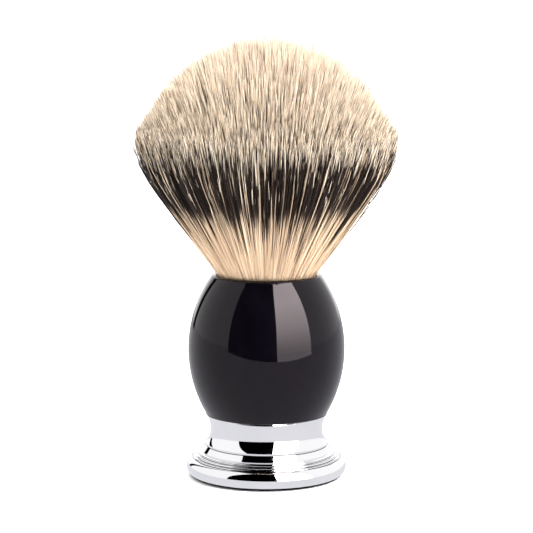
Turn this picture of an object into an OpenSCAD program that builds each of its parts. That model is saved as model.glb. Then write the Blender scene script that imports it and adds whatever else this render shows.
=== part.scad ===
// Shaving brush: a barrel-shaped resin handle on a plated metal foot,
// with a dense three-band hair knot set in a socket at the top.
// Millimetres, +Z up. The origin is the centre of the foot pad's underside,
// so the brush stands on Z = 0 and everything is turned about the Z axis.

/* [Overall] */
// Height of the whole brush, foot pad to the top of the hair
overall_h = 102.4; // [98:0.2:108]
// Height of the handle, foot pad to the rim that the hair comes out of
handle_h = 47.6; // [46:0.2:50]

/* [Barrel] */
// Widest diameter of the barrel
barrel_d = 36.6; // [34:0.2:40]
// Height of the barrel's widest ring
barrel_wide_z = 30; // [28:0.5:32]
// Radius that rounds the rim
rim_round_r = 1; // [0.8:0.1:1.4]

/* [Foot] */
// Widest diameter of the metal foot
foot_d = 37.5; // [36:0.1:40]
// Diameter of the collar where it meets the barrel
collar_d = 28.6; // [28:0.1:29.2]
// Height of the collar's top edge
collar_z = 14.8; // [14.2:0.1:15.4]
// Diameter of the foot's waist
waist_d = 26.3; // [25.8:0.1:26.6]
// Height of the waist
waist_z = 10.9; // [10.6:0.1:11.2]
// Radius of the rounded outer face of the foot
foot_face_r = 2.35; // [2.2:0.05:2.5]

/* [Hair] */
// Diameter of the hair where it leaves the rim
knot_d = 23.2; // [22:0.1:23.4]
// Widest diameter of the open hair
bloom_d = 60; // [56:0.5:64]
// Radius of the dome that the hair tips follow
dome_r = 30.6; // [30:0.2:33]
// How far the cone of hair widens, for each millimetre that it rises
hair_spread = 0.672; // [0.6:0.01:0.7]
// Height above the rim of the point that the hair bends about
flex_rise = 2.6; // [2.4:0.1:3]

/* [Fastening] */
// Nominal diameter of the screw that holds the foot to the barrel
screw_d = 4; // [3.5:0.5:4]
// Diameter of the brass insert in the barrel
insert_d = 7; // [6.5:0.1:8]
// Depth of the socket that holds the knot
socket_depth = 14.2; // [13.6:0.1:15]

/* [Hidden] */
$fn = 96;

fit_gap = 0.05;          // room all round a part that is glued or screwed in place
over = 1;                // how far a cutting shape runs past what it cuts
big = 2 * overall_h;     // an outer radius beyond any outline

// Foot: levels and radii
pad_stand = 0.3;                                  // the pad stands this far below the metal
face_centre_r = foot_d / 2 - foot_face_r;         // centre of the foot's rounded outer face
face_centre_z = 2.38;
face_top_z = 4.42;                                // flat ring just inside the rounded face
face_top_r = face_centre_r + sqrt(pow(foot_face_r, 2) - pow(face_top_z - face_centre_z, 2));
hollow_r = 4.5;                                   // hollow curve below the waist
hollow_end = 41.5;                                // how far that curve turns outwards, in degrees
hollow_end_r = waist_d / 2 + hollow_r * (1 - cos(hollow_end));
hollow_end_z = waist_z - hollow_r * sin(hollow_end);
fillet_r = hollow_end_r + 0.05;                   // upright band below the hollow
fillet_z = hollow_end_z - 0.45;
cone_r = 15.3;                                    // the cone below it, and its upright lower edge
cone_z = 6.1;
bead_r = 0.33;                                    // three turned beads, side by side on a slope
bead_count = 3;
bead_first = [15.6, 5.45];
bead_last = [16.85, face_top_z];
pad_recess_r = 14;
pad_recess_z = 2.6;
head_recess_r = 9;
web_z = 7.3;                                      // underside of the web that the screw clamps
spigot_r = 11;                                    // barrel spigot inside the collar
spigot_seat_z = 10.8;                             // top of the web
waist_curve_r = hollow_radius(collar_z - waist_z, (collar_d - waist_d) / 2);

// Pad, cover and fastening stack, from the bottom up
pad_t = 1.2;
cover_t = pad_recess_z - pad_t;
cover_lip = 0.8;                                  // thickness of the cover's plain rim
plain_washer_t = 0.8;
plain_washer_d = 9;
spring_washer_t = 0.9;
spring_washer_d = 7.2;
spring_slit = 1;
head_d = 7;
head_h = 2.6;
key_flats = 3;                                    // hex socket, across flats
key_depth = 1.5;
screw_l = 12;                                     // length under the head
hole_r = screw_d / 2 + 0.25;
head_seat_z = web_z - plain_washer_t - spring_washer_t;

// Gasket and barrel
gasket_t = 0.2;
gasket_inset = 0.15;                              // the gasket stops just short of the edge
barrel_z = collar_z + gasket_t;
spigot_z = spigot_seat_z + gasket_t;
insert_h = 9.5;
insert_groove = 0.3;
insert_grooves = 3;
barrel_curve_r = hollow_radius(barrel_wide_z - barrel_z, (barrel_d - collar_d) / 2);
barrel_curve_x = barrel_d / 2 - barrel_curve_r;   // centre of the barrel's side curve

// Rim: a small circle inside the side curve, tangent to it, with its top at handle_h
rim_curve_z = handle_h - rim_round_r;
rim_reach = barrel_curve_r - rim_round_r;
rim_lean = asin((rim_curve_z - barrel_wide_z) / rim_reach);
rim_curve_x = barrel_curve_x + rim_reach * cos(rim_lean);
rim_tangent_z = barrel_wide_z + barrel_curve_r * sin(rim_lean);

// Knot, set in the socket
socket_r = knot_d / 2 + 0.1;
socket_z = handle_h - socket_depth;
glue_floor = 0.5;
glue_wall = 0.25;
cup_r = socket_r - glue_wall - fit_gap;
cup_wall = 0.6;
cup_floor = 1;
cup_h = 9.7;
cup_z = socket_z + glue_floor;
bundle_r = cup_r - cup_wall - fit_gap;            // hair bundle inside the cup
plug_z = cup_z + cup_floor;
plug_h = 4;
root_z = plug_z + plug_h;
thread_d = 0.5;
thread_turns = 5;
thread_pitch = 0.52;
thread_z = root_z + 0.6;
throat_r = bundle_r - thread_d - fit_gap;         // hair bundle under the binding
throat_h = thread_turns * thread_pitch + 0.6;

// Hair, cut into shells about the point that it bends about
flex_z = handle_h + flex_rise;
root_dome_r = 14;
neck_dome_r = 17;
shell_gap = 0.3;
dome_z = overall_h - dome_r;

// Radius of the arc that moves sideways by "side" over a rise of "rise" from its widest point
function hollow_radius(rise, side) = (rise * rise + side * side) / (2 * side);

// A turned ring between two radii
module ring(outer_r, inner_r, z, h) {
    translate([0, 0, z])
        difference() {
            cylinder(r = outer_r, h = h);
            translate([0, 0, -over]) cylinder(r = inner_r, h = h + 2 * over);
        }
}

// ---- Foot and what closes it ----

// Felt pad that the brush stands on
module foot_pad() {
    color("dimgray")
        cylinder(r = pad_recess_r - fit_gap, h = pad_t);
}

// Moulded disc that hides the screw and carries the pad
module cover_disc() {
    color("black")
        difference() {
            translate([0, 0, pad_t]) cylinder(r = pad_recess_r - fit_gap, h = cover_t);
            translate([0, 0, pad_t + cover_lip]) cylinder(r = head_recess_r - 2, h = cover_t);
        }
}

// Outline of the foot's waist: one arc up to the collar and a smaller one down to the flange
module waist_outline() {
    difference() {
        translate([0, waist_z]) square([collar_d / 2, collar_z - waist_z]);
        translate([waist_d / 2 + waist_curve_r, waist_z]) circle(r = waist_curve_r, $fn = 192);
    }
    difference() {
        translate([0, hollow_end_z]) square([hollow_end_r, waist_z - hollow_end_z + fit_gap]);
        translate([waist_d / 2 + hollow_r, waist_z]) circle(r = hollow_r, $fn = 192);
    }
}

// Outline of the flange: rounded outer face, a slope with turned beads, then a cone and an
// upright band up to the waist
module flange_outline() {
    intersection() {
        translate([face_centre_r, face_centre_z]) circle(r = foot_face_r);
        translate([0, pad_stand]) square([foot_d, face_top_z - pad_stand]);
    }
    polygon([[0, pad_stand], [face_centre_r, pad_stand], [face_top_r, face_top_z], bead_last,
             bead_first, [cone_r, bead_first[1]], [cone_r, cone_z], [fillet_r, fillet_z],
             [fillet_r, hollow_end_z], [0, hollow_end_z]]);
    for (i = [0 : bead_count - 1])
        translate(bead_first + i / (bead_count - 1) * (bead_last - bead_first))
            circle(r = bead_r, $fn = 48);
}

module foot() {
    color("gainsboro")
        difference() {
            rotate_extrude() {
                waist_outline();
                flange_outline();
            }
            cylinder(r = pad_recess_r, h = pad_recess_z);
            cylinder(r = head_recess_r, h = web_z);
            cylinder(r = hole_r, h = collar_z);
            translate([0, 0, spigot_seat_z]) cylinder(r = spigot_r + 2 * fit_gap, h = collar_z);
        }
}

// ---- Fastening ----

// Cap screw from below, with a hex socket in its head
module base_screw() {
    color("silver")
        difference() {
            union() {
                translate([0, 0, head_seat_z - head_h]) cylinder(d = head_d, h = head_h);
                translate([0, 0, head_seat_z]) cylinder(d = screw_d - 2 * fit_gap, h = screw_l);
            }
            translate([0, 0, head_seat_z - head_h - over])
                cylinder(d = key_flats / cos(30), h = key_depth + over, $fn = 6);
        }
}

// Split spring washer under the head
module spring_washer() {
    color("slategray")
        difference() {
            ring(spring_washer_d / 2, hole_r, head_seat_z, spring_washer_t);
            translate([0, -spring_slit / 2, head_seat_z - over])
                cube([spring_washer_d, spring_slit, spring_washer_t + 2 * over]);
        }
}

module plain_washer() {
    color("silver")
        ring(plain_washer_d / 2, hole_r, web_z - plain_washer_t, plain_washer_t);
}

// Brass insert moulded into the barrel, with grooves that the resin grips
module threaded_insert() {
    groove_pitch = insert_h / (insert_grooves + 1);
    color("goldenrod")
        difference() {
            ring(insert_d / 2, screw_d / 2, spigot_z, insert_h);
            for (i = [1 : insert_grooves])
                ring(insert_d, insert_d / 2 - insert_groove,
                     spigot_z + i * groove_pitch - insert_groove, 2 * insert_groove);
        }
}

// Thin black gasket that shows as a fine line between metal and resin
module collar_gasket() {
    color("black")
        ring(collar_d / 2 - gasket_inset, spigot_r + 2 * fit_gap, collar_z, gasket_t);
}

// ---- Barrel ----

// Side curve up to the rim's tangent point, then the rim's own circle
module barrel_outline() {
    intersection() {
        translate([barrel_curve_x, barrel_wide_z]) circle(r = barrel_curve_r, $fn = 288);
        translate([0, barrel_z]) square([barrel_d, rim_tangent_z - barrel_z]);
    }
    intersection() {
        translate([rim_curve_x, rim_curve_z]) circle(r = rim_round_r);
        translate([0, rim_tangent_z]) square([barrel_d, handle_h]);
    }
}

module barrel() {
    color([0.12, 0.11, 0.12])
        difference() {
            union() {
                rotate_extrude($fn = 144) barrel_outline();
                translate([0, 0, spigot_z]) cylinder(r = spigot_r, h = socket_z - spigot_z);
            }
            translate([0, 0, socket_z]) cylinder(r = socket_r, h = socket_depth + over);
            translate([0, 0, spigot_z - over])
                cylinder(d = insert_d + 2 * fit_gap, h = insert_h + fit_gap + over);
        }
}

// ---- Knot ----

// Adhesive that fills the socket under and around the cup
module socket_glue() {
    color("khaki")
        difference() {
            translate([0, 0, socket_z]) cylinder(r = socket_r - fit_gap, h = glue_floor + cup_h);
            translate([0, 0, cup_z]) cylinder(r = cup_r, h = cup_h + over);
        }
}

// Moulded cup that the finished knot is cast in
module knot_cup() {
    color("ivory")
        difference() {
            translate([0, 0, cup_z]) cylinder(r = cup_r - fit_gap, h = cup_h);
            translate([0, 0, plug_z]) cylinder(r = bundle_r + fit_gap, h = cup_h);
        }
}

// Cast resin that locks the ends of the hair
module root_plug() {
    color("darkgoldenrod")
        translate([0, 0, plug_z]) cylinder(r = bundle_r, h = plug_h);
}

// Waxed thread wound round the hair above the plug
module binding_thread() {
    color("wheat")
        for (i = [0 : thread_turns - 1])
            translate([0, 0, thread_z + i * thread_pitch])
                rotate_extrude()
                    translate([throat_r + fit_gap + thread_d / 2, 0]) circle(d = thread_d, $fn = 24);
}

// Outline of the hair inside the socket: throat under the binding, then the bundle
module bundle_outline() {
    flare_z = cup_z + cup_h;
    throat_top_z = root_z + throat_h;
    polygon([[0, root_z], [throat_r, root_z], [throat_r, throat_top_z],
             [bundle_r, throat_top_z + 1], [bundle_r, flare_z],
             [knot_d / 2, handle_h], [0, handle_h]]);
}

// Outline of the open hair: a cone from the rim, held inside the dome of the tips
module open_hair_outline() {
    cone_h = overall_h - handle_h;
    intersection() {
        translate([0, handle_h])
            polygon([[0, 0], [knot_d / 2, 0], [knot_d / 2 + cone_h * hair_spread, cone_h], [0, cone_h]]);
        translate([0, dome_z]) circle(r = dome_r, $fn = 288);
        translate([0, handle_h]) square([bloom_d / 2, cone_h]);
    }
}

// The open hair between two spheres about the flex point
module hair_shell(inner_r, outer_r) {
    rotate_extrude($fn = 144)
        intersection() {
            open_hair_outline();
            difference() {
                translate([0, flex_z]) circle(r = outer_r, $fn = 192);
                translate([0, flex_z]) circle(r = inner_r, $fn = 192);
            }
        }
}

// Fixed hair: the bundle in the socket and the first dome above the rim
module hair_root() {
    color("wheat")
        union() {
            rotate_extrude($fn = 144) bundle_outline();
            rotate_extrude($fn = 144)
                intersection() {
                    open_hair_outline();
                    translate([0, flex_z]) circle(r = root_dome_r, $fn = 192);
                }
        }
}

// Thin shell of hair that tilts forward and back about the flex point
module hair_neck() {
    color("tan")
        hair_shell(root_dome_r + shell_gap, neck_dome_r);
}

// The open bloom, which sways from side to side on the neck
module hair_bloom() {
    color("antiquewhite")
        hair_shell(neck_dome_r + shell_gap, big);
}

foot_pad();
cover_disc();
base_screw();
spring_washer();
plain_washer();
foot();
collar_gasket();
threaded_insert();
barrel();
socket_glue();
knot_cup();
root_plug();
binding_thread();
hair_root();
hair_neck();
hair_bloom();
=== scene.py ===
import math

import bmesh
import bpy
import numpy as np
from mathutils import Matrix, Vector


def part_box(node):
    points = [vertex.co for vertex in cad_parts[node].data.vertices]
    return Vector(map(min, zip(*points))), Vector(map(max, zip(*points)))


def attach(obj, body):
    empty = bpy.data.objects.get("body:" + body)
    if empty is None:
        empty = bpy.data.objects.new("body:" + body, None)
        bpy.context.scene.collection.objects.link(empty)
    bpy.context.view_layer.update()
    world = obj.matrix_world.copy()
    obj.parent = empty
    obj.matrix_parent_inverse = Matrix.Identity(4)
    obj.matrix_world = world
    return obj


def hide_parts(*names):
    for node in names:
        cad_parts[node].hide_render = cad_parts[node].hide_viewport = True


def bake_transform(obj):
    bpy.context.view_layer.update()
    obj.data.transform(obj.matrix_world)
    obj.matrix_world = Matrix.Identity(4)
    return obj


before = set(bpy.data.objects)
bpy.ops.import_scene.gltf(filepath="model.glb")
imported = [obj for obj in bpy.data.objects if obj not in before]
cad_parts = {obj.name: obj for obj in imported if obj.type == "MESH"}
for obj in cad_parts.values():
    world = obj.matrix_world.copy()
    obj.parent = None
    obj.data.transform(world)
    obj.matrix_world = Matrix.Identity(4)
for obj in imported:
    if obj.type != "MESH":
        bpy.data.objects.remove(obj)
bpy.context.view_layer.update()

# ---------------------------------------------------------------- sizes, in metres, from the frame
MM = 0.001
RIM_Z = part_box("barrel")[1].z
HAIR_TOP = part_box("hair_bloom")[1].z

# ---------------------------------------------------------------- hair knot
# "Out" is how far out a hair stands: 0 on the axis, 1 on the outermost cone. A share of a hair is counted
# from the rim to its tip.
SEED = 11
HAIR_COUNT = 26000          # spread evenly over the dome
SKIN_COUNT = 3400           # more along the outside, which the eye sees from the root up
SKIN_DEPTH = 0.14           # of the unit dome's height, for the hairs along the outside
SECTORS = 9                 # the knot is made in this many wedges
KNOT_RADIUS = 11.55 * MM    # just inside the socket's bore
DOME_RADIUS = 30.6 * MM
DOME_Z = HAIR_TOP - DOME_RADIUS
SPREAD = 0.68               # how far the outermost hair leans out for each unit of height
CONE_TIP_Z = RIM_Z - KNOT_RADIUS / SPREAD

SHOULDER_LIFT = 4.3 * MM    # how far the tips of the outermost hairs stand above the dome's edge
SHOULDER_FROM = 0.6         # hairs that stand further out than this are lifted
SHOULDER_POWER = 2.2
SHOULDER_SPREAD = (0.9, 0.3)    # mean and spread of a hair's share of that
SHOULDER_RANGE = (0.1, 1.5)
BULGE = 2.7 * MM            # how far an outermost hair bows out from the line to its lifted tip
BULGE_FROM = 0.55
BULGE_POWER = 6             # high, so that the hair turns in only near its tip

TUFT_RADIUS = 0.34 * MM     # hairs stick together in small tufts
TUFT_SIZE = 4
TUFT_PULL = 0.35            # how much closer together they are at their tips
TUFT_SHADE = 0.5            # of the hairs in a tuft have its shade
TUFT_STRIDE = 37            # columns of the shade chart from one tuft to the next
LOOSE_SHARE = 0.25          # hairs that belong to no tuft

STRAY_SHARE = 0.04          # hairs that may stand out of the cone
STRAY_REACH = 0.035
ROUGHNESS = 0.01            # the spread of the hairs' places in the cone's surface
TRIM = 0.022                # the spread of the hairs' lengths
SHORT_SHARE = 0.16
SHORT_TRIM = (0.03, 0.3)
LONG_SHARE = 0.02
LONG_TRIM = (0.005, 0.03)
BOW = 0.3 * MM
CURL = 0.35 * MM
THICKNESS = (0.8, 1.2)
SHAFT_AT = (0, 0.25, 0.7, 0.92, 1)
SHAFT_RADIUS = (0.06 * MM, 0.09 * MM, 0.115 * MM, 0.095 * MM, 0.03 * MM)

ROOT_DEPTH = 1.6 * MM       # how far below the rim the hair is drawn
CUT_Z = RIM_Z + 6.6 * MM    # the lower pieces end and the upper ones start here
BEND_HIGH_Z = RIM_Z + 19 * MM
LOW_STEPS = (0, 0.25, 0.5, 0.75)    # rings of a lower piece, as shares of the height up to the cut
HIGH_STEPS = (0.25, 0.5, 0.75, 1)   # of an upper piece, from the cut to where the bend ends
BAND_STEPS = (0.4, 0.75)            # and from there to the dark band's end
BAND_RING_FROM = 0.04               # of a hair, from the bend's end to the band's at least
BAND_RING_TO = 0.93

# ---------------------------------------------------------------- hair bands, as shares of a hair
DARK_FROM = (0.545, 0.035)  # mean and spread of the dark band's start
DARK_FROM_RANGE = (0.2, 0.66)
EARLY_SHARE = 0.3           # hairs that darken lower down
EARLY_RANGE = (0.22, 0.5)
LATE_SHARE = 0.04           # and higher up
LATE_RANGE = (0.55, 0.75)
DARK_TO = (0.83, 0.06)      # mean and spread of its end
DARK_TO_RANGE = (0.62, 0.99)
DARK_TO_EDGE = 0.03         # later than that on the outermost hairs
OUTSIDE = (0.5, 0.85)       # how far out a hair stands where it starts to count as outside, and fully does
EDGE = (0.74, 0.98)         # and the same for the edge
DARK_TIP_RANGE = (0.9, 1.05)
DARK_TIP_CHANCES = (0.04, 0.18, 0.26)   # everywhere, more towards the outside, and more at the edge
PALE_TIP_SHARE = 0.11       # hairs that turn pale inside the dark band
PALE_TIP_RANGE = (0.6, 0.8)
LEAST_DARK = 0.05
PALE_SHARE = 0.012          # hairs without a dark band
NEVER = (1.4, 1.5)
SHADES = 128                # columns of the hair's shade chart
BAND_START = 0.5            # where the dark band starts and ends on the chart
BAND_END = 0.9
TIP_LENGTH = 0.3            # of a hair, if all of the chart above the dark band showed
CHART_RANGE = (0.003, 0.997)
CREAM = (0.76, 0.575, 0.405)
BLACK = (0.016, 0.008, 0.006)
FAWN = (0.50, 0.38, 0.27)
PALE = (0.95, 0.82, 0.66)

# ---------------------------------------------------------------- camera
CAMERA_BACK = 0.483
CAMERA_UP = 0.1161
CAMERA_PITCH = math.radians(7.88)
CAMERA_LENS = 141.8


def make_camera():
    data = bpy.data.cameras.new("camera")
    data.lens = CAMERA_LENS
    data.sensor_width = 36
    data.clip_start = 0.05
    data.clip_end = 20
    camera = bpy.data.objects.new("camera", data)
    camera.location = (0, -CAMERA_BACK, CAMERA_UP)
    camera.rotation_euler = (math.radians(90) - CAMERA_PITCH, 0, 0)
    bpy.context.scene.collection.objects.link(camera)
    bpy.context.scene.camera = camera


# ---------------------------------------------------------------- material helpers
def new_material(name):
    """An empty node material, its tree and its Principled shader."""
    material = bpy.data.materials.new(name)
    material.use_nodes = True
    tree = material.node_tree
    return material, tree, tree.nodes["Principled BSDF"]


def add(tree, kind, **values):
    """A new node; values set its properties, or its inputs by name."""
    node = tree.nodes.new(kind)
    for key, value in values.items():
        if hasattr(node, key):
            setattr(node, key, value)
        else:
            node.inputs[key.replace("_", " ")].default_value = value
    return node


def object_place(tree, scale=(1, 1, 1)):
    """Object coordinates, stretched by scale."""
    place = add(tree, "ShaderNodeTexCoord")
    mapping = add(tree, "ShaderNodeMapping")
    mapping.inputs["Scale"].default_value = scale
    tree.links.new(place.outputs["Object"], mapping.inputs["Vector"])
    return mapping.outputs["Vector"]


def turned_place(tree):
    """(distance from the axis, 0, height): marks left by a lathe run round the axis."""
    place = add(tree, "ShaderNodeTexCoord")
    split = add(tree, "ShaderNodeSeparateXYZ")
    tree.links.new(place.outputs["Object"], split.inputs["Vector"])
    flat = add(tree, "ShaderNodeCombineXYZ")
    tree.links.new(split.outputs["X"], flat.inputs["X"])
    tree.links.new(split.outputs["Y"], flat.inputs["Y"])
    radius = add(tree, "ShaderNodeVectorMath", operation="LENGTH")
    tree.links.new(flat.outputs["Vector"], radius.inputs[0])
    joined = add(tree, "ShaderNodeCombineXYZ")
    tree.links.new(radius.outputs["Value"], joined.inputs["X"])
    tree.links.new(split.outputs["Z"], joined.inputs["Z"])
    return joined.outputs["Vector"]


def noise(tree, place, scale, detail=2.0, roughness=0.5):
    node = add(tree, "ShaderNodeTexNoise", Scale=scale, Detail=detail, Roughness=roughness)
    tree.links.new(place, node.inputs["Vector"])
    return node.outputs["Fac"]


def spread(tree, value, low, high, from_low=0.3, from_high=0.7):
    """Maps a noise value onto the range low to high."""
    node = add(tree, "ShaderNodeMapRange")
    node.inputs["From Min"].default_value = from_low
    node.inputs["From Max"].default_value = from_high
    node.inputs["To Min"].default_value = low
    node.inputs["To Max"].default_value = high
    tree.links.new(value, node.inputs["Value"])
    return node.outputs["Result"]


def ramp(tree, value, stops):
    """A colour ramp through (position, colour) stops."""
    node = add(tree, "ShaderNodeValToRGB")
    bar = node.color_ramp.elements
    while len(bar) < len(stops):
        bar.new(1)
    for element, (position, colour) in zip(bar, stops):
        element.position = position
        element.color = (*colour, 1)
    tree.links.new(value, node.inputs["Fac"])
    return node.outputs["Color"]


def plus(tree, first, second):
    node = add(tree, "ShaderNodeMath", operation="ADD")
    tree.links.new(first, node.inputs[0])
    tree.links.new(second, node.inputs[1])
    return node.outputs["Value"]


def mix(tree, share, first, second):
    """Mixes two colours, each a value or another node's output."""
    node = add(tree, "ShaderNodeMix", data_type="RGBA")
    tree.links.new(share, node.inputs["Factor"])
    for value, end in ((first, "A"), (second, "B")):
        if isinstance(value, tuple):
            node.inputs[end].default_value = (*value, 1)
        else:
            tree.links.new(value, node.inputs[end])
    return node.outputs["Result"]


def bump(tree, shader, height, strength, distance):
    node = add(tree, "ShaderNodeBump", Strength=strength, Distance=distance)
    tree.links.new(height, node.inputs["Height"])
    tree.links.new(node.outputs["Normal"], shader.inputs["Normal"])


def dress(node, material):
    """Puts a material on every slot of a CAD node."""
    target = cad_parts[node]
    if not target.data.materials:
        target.data.materials.append(material)
    for slot in target.material_slots:
        slot.material = material


# ---------------------------------------------------------------- materials of the handle
GROOVES = ((4.46, 0.04), (4.69, 0.03), (5.19, 0.03), (5.60, 0.03), (7.46, 0.07))
GROOVE_RANGE = (4, 8)       # each pair above is a groove's height and half width, in millimetres
GROOVE_FADE = 1.6
# the colour of the shade painted into the grooves
GROOVE_PAINTED_SHADE = (0.13, 0.13, 0.135)


def painted_groove_shade_mask(tree):
    """0 on the open surface and 1 in the grooves, where shade is painted into the plating's colour."""
    place = add(tree, "ShaderNodeTexCoord")
    split = add(tree, "ShaderNodeSeparateXYZ")
    tree.links.new(place.outputs["Object"], split.inputs["Vector"])
    low, high = GROOVE_RANGE
    height = spread(tree, split.outputs["Z"], 0, 1, low * MM, high * MM)
    stops = [(0.0, (0, 0, 0))]
    for height_mm, half_mm in GROOVES:
        centre = (height_mm - low) / (high - low)
        half = half_mm / (high - low)
        stops += [(centre - GROOVE_FADE * half, (0, 0, 0)), (centre - half, (1, 1, 1))]
        stops += [(centre + half, (1, 1, 1)), (centre + GROOVE_FADE * half, (0, 0, 0))]
    return ramp(tree, height, stops)


def chrome():
    """Mirror plating: faint polishing rings, a slightly uneven film and painted shade in the grooves."""
    material, tree, shader = new_material("plated_metal")
    film = noise(tree, object_place(tree), 90, 3)
    tint = ramp(tree, film, [(0.3, (0.79, 0.79, 0.81)), (0.7, (0.84, 0.84, 0.85))])
    # painted shade: the grooves' colour is darkened in place of their shadow
    tree.links.new(mix(tree, painted_groove_shade_mask(tree), tint, GROOVE_PAINTED_SHADE), shader.inputs["Base Color"])
    shader.inputs["Metallic"].default_value = 1
    rings = noise(tree, turned_place(tree), 5200, 2)
    tree.links.new(spread(tree, rings, 0.015, 0.05), shader.inputs["Roughness"])
    bump(tree, shader, rings, 0.02, 0.02 * MM)
    return material


def resin():
    """Deep black cast resin with a hand-polished gloss."""
    material, tree, shader = new_material("handle_resin")
    cloud = noise(tree, object_place(tree, (1, 1, 0.5)), 160, 4, 0.6)
    tint = ramp(tree, cloud, [(0.3, (0.0012, 0.0009, 0.0020)), (0.75, (0.0028, 0.0021, 0.0038))])
    tree.links.new(tint, shader.inputs["Base Color"])
    shader.inputs["IOR"].default_value = 1.34
    shader.inputs["Specular Tint"].default_value = (1, 0.9, 0.92, 1)
    haze = noise(tree, object_place(tree), 420, 3)
    tree.links.new(spread(tree, haze, 0.02, 0.055), shader.inputs["Roughness"])
    buffing = noise(tree, turned_place(tree), 2600, 2)
    bump(tree, shader, buffing, 0.015, 0.02 * MM)
    return material


def rubber():
    material, tree, shader = new_material("gasket_rubber")
    grain = noise(tree, object_place(tree), 2400, 3)
    tint = ramp(tree, grain, [(0.3, (0.006, 0.006, 0.007)), (0.7, (0.014, 0.014, 0.015))])
    tree.links.new(tint, shader.inputs["Base Color"])
    tree.links.new(spread(tree, grain, 0.55, 0.75), shader.inputs["Roughness"])
    bump(tree, shader, grain, 0.3, 0.03 * MM)
    return material


def felt():
    """Pressed wool: matted fibres over a dark ground."""
    material, tree, shader = new_material("pad_felt")
    fibres = noise(tree, object_place(tree, (1, 3.2, 1)), 1500, 6, 0.7)
    matting = noise(tree, object_place(tree, (2.6, 1, 1)), 1100, 6, 0.7)
    mixed = add(tree, "ShaderNodeMath", operation="MAXIMUM")
    tree.links.new(fibres, mixed.inputs[0])
    tree.links.new(matting, mixed.inputs[1])
    height = mixed.outputs["Value"]
    tint = ramp(tree, height, [(0.45, (0.008, 0.008, 0.009)), (0.75, (0.05, 0.05, 0.055))])
    tree.links.new(tint, shader.inputs["Base Color"])
    shader.inputs["Roughness"].default_value = 0.95
    shader.inputs["Sheen Weight"].default_value = 0.25
    bump(tree, shader, height, 0.9, 0.25 * MM)
    return material


def moulded(name, colour, grain_scale, roughness):
    """Injection-moulded plastic: a fine spark-eroded grain."""
    material, tree, shader = new_material(name)
    grain = noise(tree, object_place(tree), grain_scale, 3, 0.6)
    dark = tuple(0.8 * part for part in colour)
    tree.links.new(ramp(tree, grain, [(0.3, dark), (0.7, colour)]), shader.inputs["Base Color"])
    tree.links.new(spread(tree, grain, roughness - 0.08, roughness + 0.08), shader.inputs["Roughness"])
    bump(tree, shader, grain, 0.25, 0.04 * MM)
    return material


def turned_metal(name, dark, light, roughness):
    """Lathe-turned metal: tool marks round the axis."""
    material, tree, shader = new_material(name)
    marks = noise(tree, turned_place(tree), 3800, 3, 0.6)
    tree.links.new(ramp(tree, marks, [(0.35, dark), (0.65, light)]), shader.inputs["Base Color"])
    shader.inputs["Metallic"].default_value = 1
    tree.links.new(spread(tree, marks, roughness - 0.1, roughness + 0.1), shader.inputs["Roughness"])
    bump(tree, shader, marks, 0.25, 0.03 * MM)
    return material


def cast(name, dark, light, roughness):
    """Poured adhesive or resin: cloudy, with a soft skin."""
    material, tree, shader = new_material(name)
    cloud = noise(tree, object_place(tree), 380, 5, 0.6)
    tree.links.new(ramp(tree, cloud, [(0.3, dark), (0.7, light)]), shader.inputs["Base Color"])
    shader.inputs["Subsurface Weight"].default_value = 0.2
    shader.inputs["Subsurface Radius"].default_value = (1 * MM, 0.7 * MM, 0.4 * MM)
    tree.links.new(spread(tree, cloud, roughness - 0.08, roughness + 0.08), shader.inputs["Roughness"])
    bump(tree, shader, cloud, 0.4, 0.15 * MM)
    return material


def thread():
    """Waxed thread: strands twisted round a winding."""
    material, tree, shader = new_material("waxed_thread")
    place = object_place(tree, (1, 1, 2.2))
    strands = add(tree, "ShaderNodeTexWave", Scale=900, Distortion=3, Detail=3)
    tree.links.new(place, strands.inputs["Vector"])
    height = strands.outputs["Fac"]
    tint = ramp(tree, height, [(0.1, (0.28, 0.22, 0.14)), (0.8, (0.62, 0.54, 0.40))])
    tree.links.new(tint, shader.inputs["Base Color"])
    shader.inputs["Roughness"].default_value = 0.6
    bump(tree, shader, height, 0.7, 0.12 * MM)
    return material


def dress_handle():
    plating = chrome()
    dress("foot", plating)
    make_foot(plating)
    dress("barrel", resin())
    dress("collar_gasket", rubber())
    dress("foot_pad", felt())
    dress("cover_disc", moulded("cover_plastic", (0.02, 0.02, 0.022), 2600, 0.5))
    dress("knot_cup", moulded("cup_plastic", (0.62, 0.60, 0.55), 2600, 0.45))
    steel = turned_metal("screw_steel", (0.42, 0.42, 0.43), (0.62, 0.62, 0.63), 0.3)
    for name in ("base_screw", "spring_washer", "plain_washer"):
        dress(name, steel)
    dress("threaded_insert", turned_metal("insert_brass", (0.60, 0.42, 0.16), (0.83, 0.63, 0.28), 0.3))
    dress("socket_glue", cast("socket_glue", (0.42, 0.33, 0.18), (0.58, 0.48, 0.30), 0.35))
    dress("root_plug", cast("root_plug", (0.30, 0.20, 0.09), (0.46, 0.33, 0.17), 0.3))
    dress("binding_thread", thread())


# ---------------------------------------------------------------- foot, turned in one piece
COLLAR_RADIUS = 14.3 * MM
COLLAR_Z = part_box("foot")[1].z
FOOT_BASE_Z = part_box("foot")[0].z
FOOT_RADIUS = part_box("foot")[1].x
WAIST_RADIUS = 13.15 * MM
WAIST_Z = 10.9 * MM
HOLLOW_RADIUS = 4.5 * MM
HOLLOW_END = 41.5
FACE_RADIUS = 2.35 * MM
FACE_Z = 2.38 * MM
FACE_TOP_Z = 4.42 * MM
BAND_OUT = 0.05 * MM
BAND_HEIGHT = 0.45 * MM
CONE_FOOT = (15.3 * MM, 6.1 * MM)
BEAD_RADIUS = 0.33 * MM
BEADS = ((16.85 * MM, FACE_TOP_Z), (16.225 * MM, 4.935 * MM), (15.6 * MM, 5.45 * MM))
PAD_RECESS = (14 * MM, 2.6 * MM)
HEAD_RECESS = (9 * MM, 7.3 * MM)
HOLE_RADIUS = 2.25 * MM
SEAT = (11.1 * MM, 10.8 * MM)
LATHE_STEPS = 256
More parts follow.
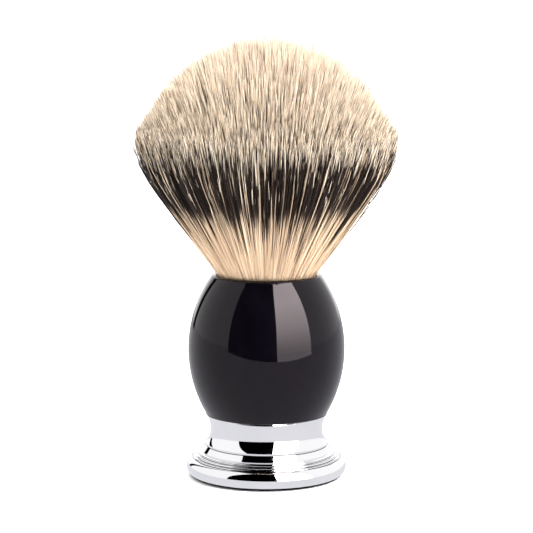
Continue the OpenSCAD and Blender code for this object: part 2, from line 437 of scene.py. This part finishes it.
EDGE_ANGLE = 24             # degrees between two faces from which their edge is sharp


def arc(centre, radius, start, end, step=4):
    """Points on an arc from one angle to another, in degrees; 0 points away from the axis."""
    count = max(2, math.ceil(abs(end - start) / step)) + 1
    angles = [math.radians(start + (end - start) * i / (count - 1)) for i in range(count)]
    return [(centre[0] + radius * math.cos(a), centre[1] + radius * math.sin(a)) for a in angles]


def degrees_at(sine):
    return math.degrees(math.asin(sine))


def foot_outline():
    """The foot's half section, from the screw hole out and round to it again."""
    centre_r = FOOT_RADIUS - FACE_RADIUS
    low = degrees_at((FOOT_BASE_Z - FACE_Z) / FACE_RADIUS)
    high = degrees_at((FACE_TOP_Z - FACE_Z) / FACE_RADIUS)
    points = [(HOLE_RADIUS, HEAD_RECESS[1]), HEAD_RECESS, (HEAD_RECESS[0], PAD_RECESS[1]), PAD_RECESS]
    points.append((PAD_RECESS[0], FOOT_BASE_Z))
    points += arc((centre_r, FACE_Z), FACE_RADIUS, low, high)
    slope = math.degrees(math.atan2(BEADS[2][1] - BEADS[0][1], BEADS[2][0] - BEADS[0][0]))
    last = 180 - degrees_at(math.sqrt(1 - ((BEADS[2][0] - CONE_FOOT[0]) / BEAD_RADIUS) ** 2))
    points += arc(BEADS[0], BEAD_RADIUS, 0, slope, 10)
    points += arc(BEADS[1], BEAD_RADIUS, slope - 180, slope, 10)
    points += arc(BEADS[2], BEAD_RADIUS, slope - 180, last, 10)
    points.append(CONE_FOOT)
    end = math.radians(HOLLOW_END)
    band_r = WAIST_RADIUS + HOLLOW_RADIUS * (1 - math.cos(end))
    band_z = WAIST_Z - HOLLOW_RADIUS * math.sin(end)
    points += [(band_r + BAND_OUT, band_z - BAND_HEIGHT), (band_r + BAND_OUT, band_z)]
    hollow = (WAIST_RADIUS + HOLLOW_RADIUS, WAIST_Z)
    points += arc(hollow, HOLLOW_RADIUS, 180 + HOLLOW_END, 180, 2)
    rise = COLLAR_Z - WAIST_Z
    side = COLLAR_RADIUS - WAIST_RADIUS
    waist_curve = (rise ** 2 + side ** 2) / (2 * side)
    top = 180 - degrees_at(rise / waist_curve)
    points += arc((WAIST_RADIUS + waist_curve, WAIST_Z), waist_curve, 180, top, 2)[1:]
    points += [(SEAT[0], COLLAR_Z), SEAT, (HOLE_RADIUS, SEAT[1])]
    return points


def lathe(name, outline, steps=LATHE_STEPS):
    """Turns a closed half section about Z into a solid, smooth but for its real edges."""
    shape = bmesh.new()
    rings = []
    for step in range(steps):
        turn = 2 * math.pi * step / steps
        rings.append([shape.verts.new((r * math.cos(turn), r * math.sin(turn), z)) for r, z in outline])
    for step in range(steps):
        here, there = rings[step], rings[(step + 1) % steps]
        for i in range(len(outline)):
            j = (i + 1) % len(outline)
            shape.faces.new((here[i], there[i], there[j], here[j]))
    bmesh.ops.recalc_face_normals(shape, faces=shape.faces)
    mesh = bpy.data.meshes.new(name)
    shape.to_mesh(mesh)
    shape.free()
    mesh.shade_smooth()
    mesh.set_sharp_from_angle(angle=math.radians(EDGE_ANGLE))
    piece = bpy.data.objects.new(name, mesh)
    bpy.context.scene.collection.objects.link(piece)
    return piece


def make_foot(material):
    foot = lathe("turned_foot", foot_outline())
    foot.data.materials.append(material)
    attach(foot, "handle")
    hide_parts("foot")


# ---------------------------------------------------------------- hair
def hair_chart(tree):
    """The shade column's random numbers and the place along the hair, from its chart."""
    chart = add(tree, "ShaderNodeUVMap", uv_map="OFBake")
    split = add(tree, "ShaderNodeSeparateXYZ")
    tree.links.new(chart.outputs["UV"], split.inputs["Vector"])
    scaled = add(tree, "ShaderNodeMath", operation="MULTIPLY")
    scaled.inputs[1].default_value = SHADES
    tree.links.new(split.outputs["X"], scaled.inputs[0])
    column = add(tree, "ShaderNodeMath", operation="FLOOR")
    tree.links.new(scaled.outputs["Value"], column.inputs[0])
    dice = add(tree, "ShaderNodeTexWhiteNoise", noise_dimensions="1D")
    tree.links.new(column.outputs["Value"], dice.inputs["W"])
    parts = add(tree, "ShaderNodeSeparateXYZ")
    tree.links.new(dice.outputs["Color"], parts.inputs["Vector"])
    return split.outputs["Y"], dice.outputs["Value"], parts.outputs


def hair_material():
    """Three bands along each hair (V of its chart); each column of the chart (U) is another shade."""
    material, tree, shader = new_material("hair")
    along, dice, parts = hair_chart(tree)
    root_end = plus(tree, along, spread(tree, dice, -0.03, 0.03, 0, 1))
    tip_start = plus(tree, along, spread(tree, parts["X"], -0.01, 0.01, 0, 1))
    dark = mix(tree, spread(tree, parts["Z"], 0, 1, 0.9, 0.96), BLACK, FAWN)
    root = ramp(tree, root_end, [(0.40, (0, 0, 0)), (0.47, (0.352, 0.352, 0.352)),
                                 (0.51, (0.892, 0.892, 0.892)), (0.55, (1, 1, 1))])
    tip = ramp(tree, tip_start, [(0.88, (0, 0, 0)), (0.91, (0.5, 0.5, 0.5)), (0.93, (1, 1, 1))])
    bands = mix(tree, tip, mix(tree, root, CREAM, dark), PALE)
    tone = ramp(tree, parts["Y"], [(0, (0.3, 0.23, 0.17)), (0.12, (0.6, 0.54, 0.48)),
                                   (0.3, (0.84, 0.81, 0.78)), (0.7, (1, 1, 1))])
    toned = add(tree, "ShaderNodeVectorMath", operation="MULTIPLY")
    tree.links.new(bands, toned.inputs[0])
    tree.links.new(tone, toned.inputs[1])
    tree.links.new(toned.outputs["Vector"], shader.inputs["Base Color"])
    tree.links.new(spread(tree, dice, 0.34, 0.55, 0, 1), shader.inputs["Roughness"])
    shader.inputs["Specular IOR Level"].default_value = 0.35
    shader.inputs["Specular Tint"].default_value = (1, 0.88, 0.8, 1)
    return material


def shoulder_cosine():
    """Where the cone of the outermost hair meets the dome, as the height on a unit dome."""
    gap = DOME_Z - CONE_TIP_Z
    square = SPREAD ** 2 + 1
    height = (gap + math.sqrt(gap ** 2 - square * (gap ** 2 - DOME_RADIUS ** 2))) / square
    return (height - gap) / DOME_RADIUS


def dome_points(rng):
    """Two points for each hair, where it would end by itself and where its tuft draws it, and the
    number of its tuft, or -1."""
    lowest = shoulder_cosine()
    count = HAIR_COUNT + SKIN_COUNT
    height = rng.uniform(lowest, 1, count)
    height[HAIR_COUNT:] = rng.uniform(lowest, lowest + SKIN_DEPTH, SKIN_COUNT)
    turn = rng.uniform(0, 2 * math.pi, count)
    flat = np.sqrt(1 - height ** 2)
    centre = np.stack([flat * np.cos(turn), flat * np.sin(turn), height], axis=1) * DOME_RADIUS
    tufts = centre[rng.integers(0, count, count // TUFT_SIZE)]
    number = rng.integers(0, len(tufts), count)
    own = tufts[number]
    loose = (np.arange(count) >= HAIR_COUNT) | (rng.random(count) < LOOSE_SHARE)
    own[loose] = centre[loose]
    number[loose] = -1
    stray = rng.normal(0, TUFT_RADIUS, (count, 3))
    free = own + stray
    drawn = own + stray * (1 - TUFT_PULL)
    for points in (free, drawn):
        points *= (DOME_RADIUS / np.linalg.norm(points, axis=1))[:, None]
        points[:, 2] += DOME_Z
    return free, drawn, number


def lean(points):
    """Each point's distance from the axis, and how far out its hair stands."""
    flat = np.linalg.norm(points[:, :2], axis=1)
    return flat, flat / (SPREAD * (points[:, 2] - CONE_TIP_Z))


def rise(value, low, high):
    """0 up to low, 1 from high on, and a straight line between."""
    return np.clip((value - low) / (high - low), 0, 1)


def some(rng, count, share):
    """A random share of the hairs."""
    return rng.random(count) < share


def redraw(rng, values, chosen, limits):
    """New values for the chosen hairs, spread evenly between two limits."""
    values[chosen] = rng.uniform(*limits, chosen.sum())


class Hairs:
    """Every hair as a line from the rim to its tip, with a slight bow and curl."""

    def __init__(self, rng):
        free, drawn, tuft = dome_points(rng)
        self.count = len(free)
        self.set_roots(rng, free)
        self.set_tips(rng, drawn)
        self.set_shafts(rng)
        self.set_bands(rng)
        self.column = rng.integers(0, SHADES, self.count)
        together = (tuft >= 0) & some(rng, self.count, TUFT_SHADE)
        self.column[together] = (tuft[together] * TUFT_STRIDE) % SHADES
        self.turn = np.arctan2(self.outward[:, 1], self.outward[:, 0])

    def set_roots(self, rng, free):
        flat, out = lean(free)
        self.out = np.minimum(out, 1 - np.abs(rng.normal(0, ROUGHNESS, self.count)))
        self.lift = SHOULDER_LIFT * rise(self.out, SHOULDER_FROM, 1) ** SHOULDER_POWER
        self.lift *= np.clip(rng.normal(*SHOULDER_SPREAD, self.count), *SHOULDER_RANGE)
        self.outward = free[:, :2] / np.maximum(flat, 1e-6)[:, None]
        self.rim = np.zeros((self.count, 3))
        self.rim[:, :2] = self.outward * (self.out * KNOT_RADIUS)[:, None]
        self.rim[:, 2] = RIM_Z

    def set_tips(self, rng, drawn):
        """The tips: inside the cone but for a few strays, lifted at the shoulder and unevenly long."""
        flat, out = lean(drawn)
        stray = some(rng, self.count, STRAY_SHARE)
        reach = 1 + rng.normal(0, ROUGHNESS, self.count)
        reach += stray * np.abs(rng.normal(0, STRAY_REACH, self.count))
        drawn[:, :2] *= np.minimum(1 + 0.5 * stray * (reach - 1), reach / out)[:, None]
        drawn[:, 2] += self.lift
        trim = np.abs(rng.normal(0, TRIM, self.count))
        short = some(rng, self.count, SHORT_SHARE)
        trim[short] += rng.uniform(*SHORT_TRIM, short.sum())
        long = some(rng, self.count, LONG_SHARE)
        trim[long] = -rng.uniform(*LONG_TRIM, long.sum())
        self.tip = self.rim + (drawn - self.rim) * (1 - trim)[:, None]

    def set_shafts(self, rng):
        """Two directions across each hair, and how much it bows, curls and fills out along them."""
        along = self.tip - self.rim
        along /= np.linalg.norm(along, axis=1)[:, None]
        side = rng.normal(0, 1, (self.count, 3))
        side -= along * np.sum(side * along, axis=1)[:, None]
        self.side = side / np.linalg.norm(side, axis=1)[:, None]
        self.other = np.cross(along, self.side)
        self.bow = rng.normal(0, BOW, self.count)
        self.curl = rng.normal(0, CURL, self.count)
        self.thick = rng.uniform(*THICKNESS, self.count)

    def set_bands(self, rng):
        """Where each hair's dark band starts and ends."""
        count = self.count
        self.dark_from = rng.normal(*DARK_FROM, count)
        redraw(rng, self.dark_from, some(rng, count, EARLY_SHARE), EARLY_RANGE)
        self.dark_from = np.clip(self.dark_from, *DARK_FROM_RANGE)
        self.dark_from *= 1 - self.lift / (self.tip[:, 2] - RIM_Z)
        edge = rise(self.out, *EDGE)
        everywhere, outside, at_edge = DARK_TIP_CHANCES
        chance = everywhere + outside * rise(self.out, *OUTSIDE) + at_edge * edge
        self.dark_to = np.clip(rng.normal(*DARK_TO, count) + DARK_TO_EDGE * edge, *DARK_TO_RANGE)
        redraw(rng, self.dark_to, some(rng, count, chance), DARK_TIP_RANGE)
        redraw(rng, self.dark_to, some(rng, count, PALE_TIP_SHARE), PALE_TIP_RANGE)
        redraw(rng, self.dark_from, some(rng, count, LATE_SHARE), LATE_RANGE)
        self.dark_to = np.maximum(self.dark_to, self.dark_from + LEAST_DARK)
        pale = some(rng, count, PALE_SHARE)
        self.dark_from[pale], self.dark_to[pale] = NEVER

    def share(self, height):
        """The share of each hair's length below a height."""
        return np.clip((height - RIM_Z) / (self.tip[:, 2] - RIM_Z), 0, 1)

    def chart_height(self, share):
        """V on the shade chart: the bands' edges lie at the same V on every hair."""
        root = BAND_START * share / self.dark_from
        inside = (share - self.dark_from) / (self.dark_to - self.dark_from)
        dark = BAND_START + (BAND_END - BAND_START) * inside
        tip = BAND_END + (1 - BAND_END) * (share - self.dark_to) / TIP_LENGTH
        value = np.where(share < self.dark_from, root, np.where(share < self.dark_to, dark, tip))
        return np.clip(value, *CHART_RANGE)

    def centre(self, share):
        """Points on the hairs."""
        points = self.rim + (self.tip - self.rim) * share[:, None]
        bend = self.bow * 4 * share ** 2 * (1 - share)
        points += self.side * bend[:, None]
        bulge = BULGE * rise(self.out, BULGE_FROM, 1) ** 2 * share * (1 - share ** BULGE_POWER)
        points[:, :2] += self.outward * bulge[:, None]
        points += self.other * (self.curl * share ** 4)[:, None]
        return points


def corner_ring(hairs, centre, share):
    """The three corners round each hair at one height."""
    radius = np.interp(share, SHAFT_AT, SHAFT_RADIUS) * hairs.thick
    corners = []
    for step in range(3):
        angle = 2 * math.pi * step / 3
        offset = hairs.side * math.cos(angle) + hairs.other * math.sin(angle)
        corners.append(centre + offset * radius[:, None])
    return np.stack(corners, axis=1)


def tube_faces(levels):
    """One closed tube's triangles, as corner numbers. Its first and last rings are there twice, so that
    the shading of its caps stays apart from its walls'."""
    row = np.arange(levels - 1)[:, None] + 1
    corner = np.arange(3)[None, :]
    low, low_next = row * 3 + corner, row * 3 + (corner + 1) % 3
    high, high_next = low + 3, low_next + 3
    top = 3 * (levels + 1)
    return np.concatenate([
        np.stack([low, low_next, high_next], axis=2).reshape(-1, 3),
        np.stack([low, high_next, high], axis=2).reshape(-1, 3),
        [[2, 1, 0]],
        [[top, top + 1, top + 2]]])


def tube_chart(hairs, chosen, shares):
    """The place on the shade chart of every corner of the chosen hairs, ring by ring."""
    across = (hairs.column[chosen][:, None, None] + 0.25 * (1 + np.arange(3))[None, None, :]) / SHADES
    upward = np.stack([hairs.chart_height(share)[chosen] for share in shares], axis=1)[:, :, None]
    return np.stack(np.broadcast_arrays(across, upward), axis=-1).reshape(-1, 2)


def tube_mesh(name, rings, shares, hairs, chosen):
    """One closed three-sided tube for each chosen hair, with its shade chart."""
    points = np.stack([rings[0]] + rings + [rings[-1]], axis=1)
    chart = tube_chart(hairs, chosen, [shares[0]] + shares + [shares[-1]])
    start = np.arange(chosen.sum())[:, None, None] * 3 * (len(rings) + 2)
    corners = (start + tube_faces(len(rings))[None]).astype(np.int32).ravel()
    mesh = bpy.data.meshes.new(name)
    mesh.vertices.add(points.size // 3)
    mesh.vertices.foreach_set("co", points.astype(np.float32).ravel())
    mesh.loops.add(len(corners))
    mesh.loops.foreach_set("vertex_index", corners)
    mesh.polygons.add(len(corners) // 3)
    mesh.polygons.foreach_set("loop_start", np.arange(0, len(corners), 3, dtype=np.int32))
    layer = mesh.uv_layers.new(name="OFBake")
    layer.data.foreach_set("uv", chart[corners].astype(np.float32).ravel())
    mesh.polygons.foreach_set("use_smooth", np.ones(len(corners) // 3, dtype=bool))
    mesh.update(calc_edges=True)
    return mesh


def add_hair(name, rings, shares, hairs, chosen, material):
    mesh = tube_mesh(name, [ring[chosen] for ring in rings], shares, hairs, chosen)
    mesh.materials.append(material)
    piece = bpy.data.objects.new(name, mesh)
    bpy.context.scene.collection.objects.link(piece)
    return piece


def level_rings(hairs, shares):
    return [corner_ring(hairs, hairs.centre(share), share) for share in shares]


def lower_shares(hairs):
    """Where the rings of the lower pieces are: one below the rim, then up to the cut."""
    shares = [np.zeros(hairs.count)]
    for step in LOW_STEPS:
        shares.append(hairs.share(RIM_Z + step * (CUT_Z - RIM_Z)))
    return shares + [hairs.share(CUT_Z)]


def upper_shares(hairs):
    """Where the rings of the upper pieces are: through the bend, then to the band's end and the tip."""
    shares = [hairs.share(CUT_Z)]
    for step in HIGH_STEPS:
        shares.append(hairs.share(CUT_Z + step * (BEND_HIGH_Z - CUT_Z)))
    bent = shares[-1]
    band_end = np.clip(hairs.dark_to, bent + BAND_RING_FROM, BAND_RING_TO)
    for step in BAND_STEPS:
        shares.append(bent + (band_end - bent) * step)
    return shares + [band_end, np.ones(hairs.count)]


def make_hair():
    """The knot: wedges of hair, each cut into a lower and an upper piece."""
    hairs = Hairs(np.random.default_rng(SEED))
    material = hair_material()
    low_shares = lower_shares(hairs)
    low_rings = level_rings(hairs, low_shares)
    low_rings[0] = low_rings[0] - np.array([0, 0, ROOT_DEPTH])
    high_shares = upper_shares(hairs)
    high_rings = level_rings(hairs, high_shares)
    sector = np.floor((hairs.turn / (2 * math.pi) + 0.5) * SECTORS).astype(int) % SECTORS
    for number in range(SECTORS):
        chosen = sector == number
        lower = add_hair(f"hair_lower_{number + 1}", low_rings, low_shares, hairs, chosen, material)
        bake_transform(lower)
        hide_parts("hair_root", "hair_neck")
        upper = add_hair(f"hair_upper_{number + 1}", high_rings, high_shares, hairs, chosen, material)
        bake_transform(upper)
        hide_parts("hair_bloom")


# ---------------------------------------------------------------- studio
# The cards are what the polished parts mirror. Their azimuths and elevations are in degrees; azimuth 0 is
# towards the camera, positive to its right. TOP azimuths are those of a card's upper edge.
CARD_DISTANCE = 0.7
CARD_STEPS = 24
FLAG_AZIMUTHS = (-57, 15)   # the dark camera side
FLAG_TOP_AZIMUTHS = (-64, 53)
FLAG_ELEVATIONS = (-12, 84)
FLAG_DISTANCE = 0.68        # nearer than the panel, which it partly covers
FLAG_POWER = 8              # high, so that its sides turn outwards only near its top
MAT_DISTANCE = 0.9          # the dark ground in front of the table
PANEL_AZIMUTHS = (15, 67)   # the tall softbox
PANEL_TOP_AZIMUTHS = (15, 70)
PANEL_ELEVATIONS = (-8, 78)
PANEL_GLOW = 14
PANEL_FADE = ((0.0, (0.26, 0.25, 0.255)), (0.10, (0.32, 0.31, 0.31)), (0.22, (0.52, 0.50, 0.50)),
              (0.32, (0.70, 0.67, 0.67)), (0.54, (1, 0.95, 0.955)))
SKIRT_GLOW = 3.6            # of the ground between the table and the softbox
GROUND_Z = 0.3 * MM
BACK_AZIMUTHS = (148, 212)  # a weak softbox behind the brush
BACK_ELEVATIONS = (-2, 60)
BACK_GLOW = 2
GAP_AZIMUTHS = (-147, -139)     # a dark slit behind it on the left
GAP_TOP_AZIMUTHS = (-124, -116)
GAP_ELEVATIONS = (-6, 75)
TABLE_FAR = 5.9
TABLE_Z = 0.1 * MM
TABLE_EDGE = 0.181          # from the brush to the table's straight front edge
TABLE_TURN = 12.5           # the way that the edge faces
TABLE_GLOW = 0.8
TABLE_COLOUR = (1.1, 1.1, 1.15)
CONTACT_SHADOW_RADIUS = 0.018      # a black disc under the foot, seen only in reflections: painted contact shadow
CONTACT_SHADOW_Z = 0.15 * MM
WORLD_STRENGTH = 1.15
FLOOR_HALF = 6
LAMPS = (("key", (1.0, -0.6, 1.2), 62), ("top", (-0.1, 0.3, 1.6), 28))
LAMP_SIZE = 1.4


def seen_in_gloss_only(card):
    """A card that shows only in polished surfaces."""
    card.visible_camera = False
    card.visible_diffuse = False
    card.visible_shadow = False
    card.visible_transmission = False
    card.visible_volume_scatter = False


def glow(name, strength, colour=(1, 1, 1), fade=None):
    """An emission material; fade gives colour stops up the card instead of one colour."""
    material = bpy.data.materials.new(name)
    material.use_nodes = True
    tree = material.node_tree
    tree.nodes.clear()
    light = add(tree, "ShaderNodeEmission", Strength=strength)
    light.inputs["Color"].default_value = (*colour, 1)
    out = add(tree, "ShaderNodeOutputMaterial")
    tree.links.new(light.outputs["Emission"], out.inputs["Surface"])
    if fade:
        chart = add(tree, "ShaderNodeUVMap", uv_map="chart")
        split = add(tree, "ShaderNodeSeparateXYZ")
        tree.links.new(chart.outputs["UV"], split.inputs["Vector"])
        value = ramp(tree, split.outputs["Y"], fade)
        tree.links.new(value, light.inputs["Color"])
    return material


def dome_card(name, low_azimuths, high_azimuths, elevations, radius, material, power=1):
    """A patch of a big sphere round the brush. Azimuth 0 is towards the camera, positive to its right;
    the two sides run from the low azimuths at the bottom to the high ones at the top."""
    centre = Vector((0, 0, 0.03))
    across = up = CARD_STEPS
    points = []
    chart = []
    for row in range(up + 1):
        share = row / up
        elevation = math.radians(elevations[0] + (elevations[1] - elevations[0]) * share)
        sides = [low + (high - low) * share ** power for low, high in zip(low_azimuths, high_azimuths)]
        for column in range(across + 1):
            azimuth = math.radians(sides[0] + (sides[1] - sides[0]) * column / across)
            flat = math.cos(elevation)
            way = Vector((math.sin(azimuth) * flat, -math.cos(azimuth) * flat, math.sin(elevation)))
            points.append(centre + way * radius)
            chart.append((column / across, share))
    faces = []
    for row in range(up):
        for column in range(across):
            first = row * (across + 1) + column
            faces.append((first, first + 1, first + across + 2, first + across + 1))
    return card(name, points, faces, chart, material)


def card(name, points, faces, chart, material):
    mesh = bpy.data.meshes.new(name)
    mesh.from_pydata(points, [], faces)
    layer = mesh.uv_layers.new(name="chart")
    for loop in mesh.loops:
        layer.data[loop.index].uv = chart[loop.vertex_index]
    mesh.materials.append(material)
    piece = bpy.data.objects.new(name, mesh)
    bpy.context.scene.collection.objects.link(piece)
    return piece


def flat_card(name, low, high, z, material):
    points = [(low[0], low[1], z), (high[0], low[1], z), (high[0], high[1], z), (low[0], high[1], z)]
    return card(name, points, [(0, 1, 2, 3)], [(0, 0), (1, 0), (1, 1), (0, 1)], material)


def edge_radius(azimuth):
    """How far the table's straight front edge is from the brush, that way."""
    return TABLE_EDGE / math.cos(azimuth - math.radians(TABLE_TURN))


def wedge_card(name, azimuths, inner, outer, z, material):
    """A flat sector on the table; inner gives its inner radius at an azimuth."""
    steps = 48
    points = []
    for step in range(steps + 1):
        azimuth = math.radians(azimuths[0] + (azimuths[1] - azimuths[0]) * step / steps)
        for radius in (inner(azimuth), outer):
            points.append((math.sin(azimuth) * radius, -math.cos(azimuth) * radius, z))
    faces = [(2 * step, 2 * step + 1, 2 * step + 3, 2 * step + 2) for step in range(steps)]
    return card(name, points, faces, [(0, 0)] * len(points), material)


def make_cards():
    """What the polished parts mirror: a dark camera side, a tall softbox to its right, the table, and a
    black disc of painted contact shadow under the foot.
    """
    table_glow = glow("table_glow", TABLE_GLOW, TABLE_COLOUR)
    table = wedge_card("table", (0, 360), lambda azimuth: CONTACT_SHADOW_RADIUS, TABLE_FAR, TABLE_Z, table_glow)
    black = glow("black", 0)
    # painted shadow: a black disc under the foot, which the foot's lower edge mirrors in place of its
    # contact shadow
    under = wedge_card("under", (0, 360), lambda azimuth: MM, CONTACT_SHADOW_RADIUS, CONTACT_SHADOW_Z, black)
    flag = dome_card("flag", FLAG_AZIMUTHS, FLAG_TOP_AZIMUTHS, FLAG_ELEVATIONS, FLAG_DISTANCE, black,
                     FLAG_POWER)
    mat = wedge_card("mat", FLAG_AZIMUTHS, edge_radius, MAT_DISTANCE, GROUND_Z, black)
    panel_glow = glow("panel_glow", PANEL_GLOW, fade=PANEL_FADE)
    panel = dome_card("panel", PANEL_AZIMUTHS, PANEL_TOP_AZIMUTHS, PANEL_ELEVATIONS, CARD_DISTANCE,
                      panel_glow)
    skirt_glow = glow("skirt_glow", SKIRT_GLOW)
    skirt = wedge_card("skirt", PANEL_AZIMUTHS, edge_radius, CARD_DISTANCE, GROUND_Z, skirt_glow)
    back_glow = glow("back_glow", BACK_GLOW)
    back = dome_card("back", BACK_AZIMUTHS, BACK_AZIMUTHS, BACK_ELEVATIONS, CARD_DISTANCE, back_glow)
    gap = dome_card("gap", GAP_AZIMUTHS, GAP_TOP_AZIMUTHS, GAP_ELEVATIONS, CARD_DISTANCE, black)
    for piece in (table, under, flag, mat, panel, skirt, gap, back):
        seen_in_gloss_only(piece)


def add_lamp(name, place, energy):
    light = bpy.data.lights.new(name, "AREA")
    light.shape = "DISK"
    light.size = LAMP_SIZE
    light.energy = energy
    lamp = bpy.data.objects.new(name, light)
    lamp.location = place
    lamp.rotation_euler = (Vector((0, 0, 0.05)) - lamp.location).to_track_quat("-Z", "Y").to_euler()
    lamp.visible_glossy = False
    bpy.context.scene.collection.objects.link(lamp)


def make_studio():
    world = bpy.data.worlds.new("studio")
    bpy.context.scene.world = world
    world.use_nodes = True
    world.node_tree.nodes["Background"].inputs["Color"].default_value = (1, 1, 1, 1)
    world.node_tree.nodes["Background"].inputs["Strength"].default_value = WORLD_STRENGTH
    floor_material, tree, shader = new_material("floor")
    shader.inputs["Base Color"].default_value = (0.92, 0.92, 0.92, 1)
    shader.inputs["Roughness"].default_value = 0.9
    flat_card("floor", (-FLOOR_HALF, -FLOOR_HALF), (FLOOR_HALF, FLOOR_HALF), 0, floor_material)
    make_cards()
    for name, place, energy in LAMPS:
        add_lamp(name, place, energy)


make_camera()
make_studio()
dress_handle()
make_hair()
bpy.context.scene.view_settings.view_transform = "Standard"
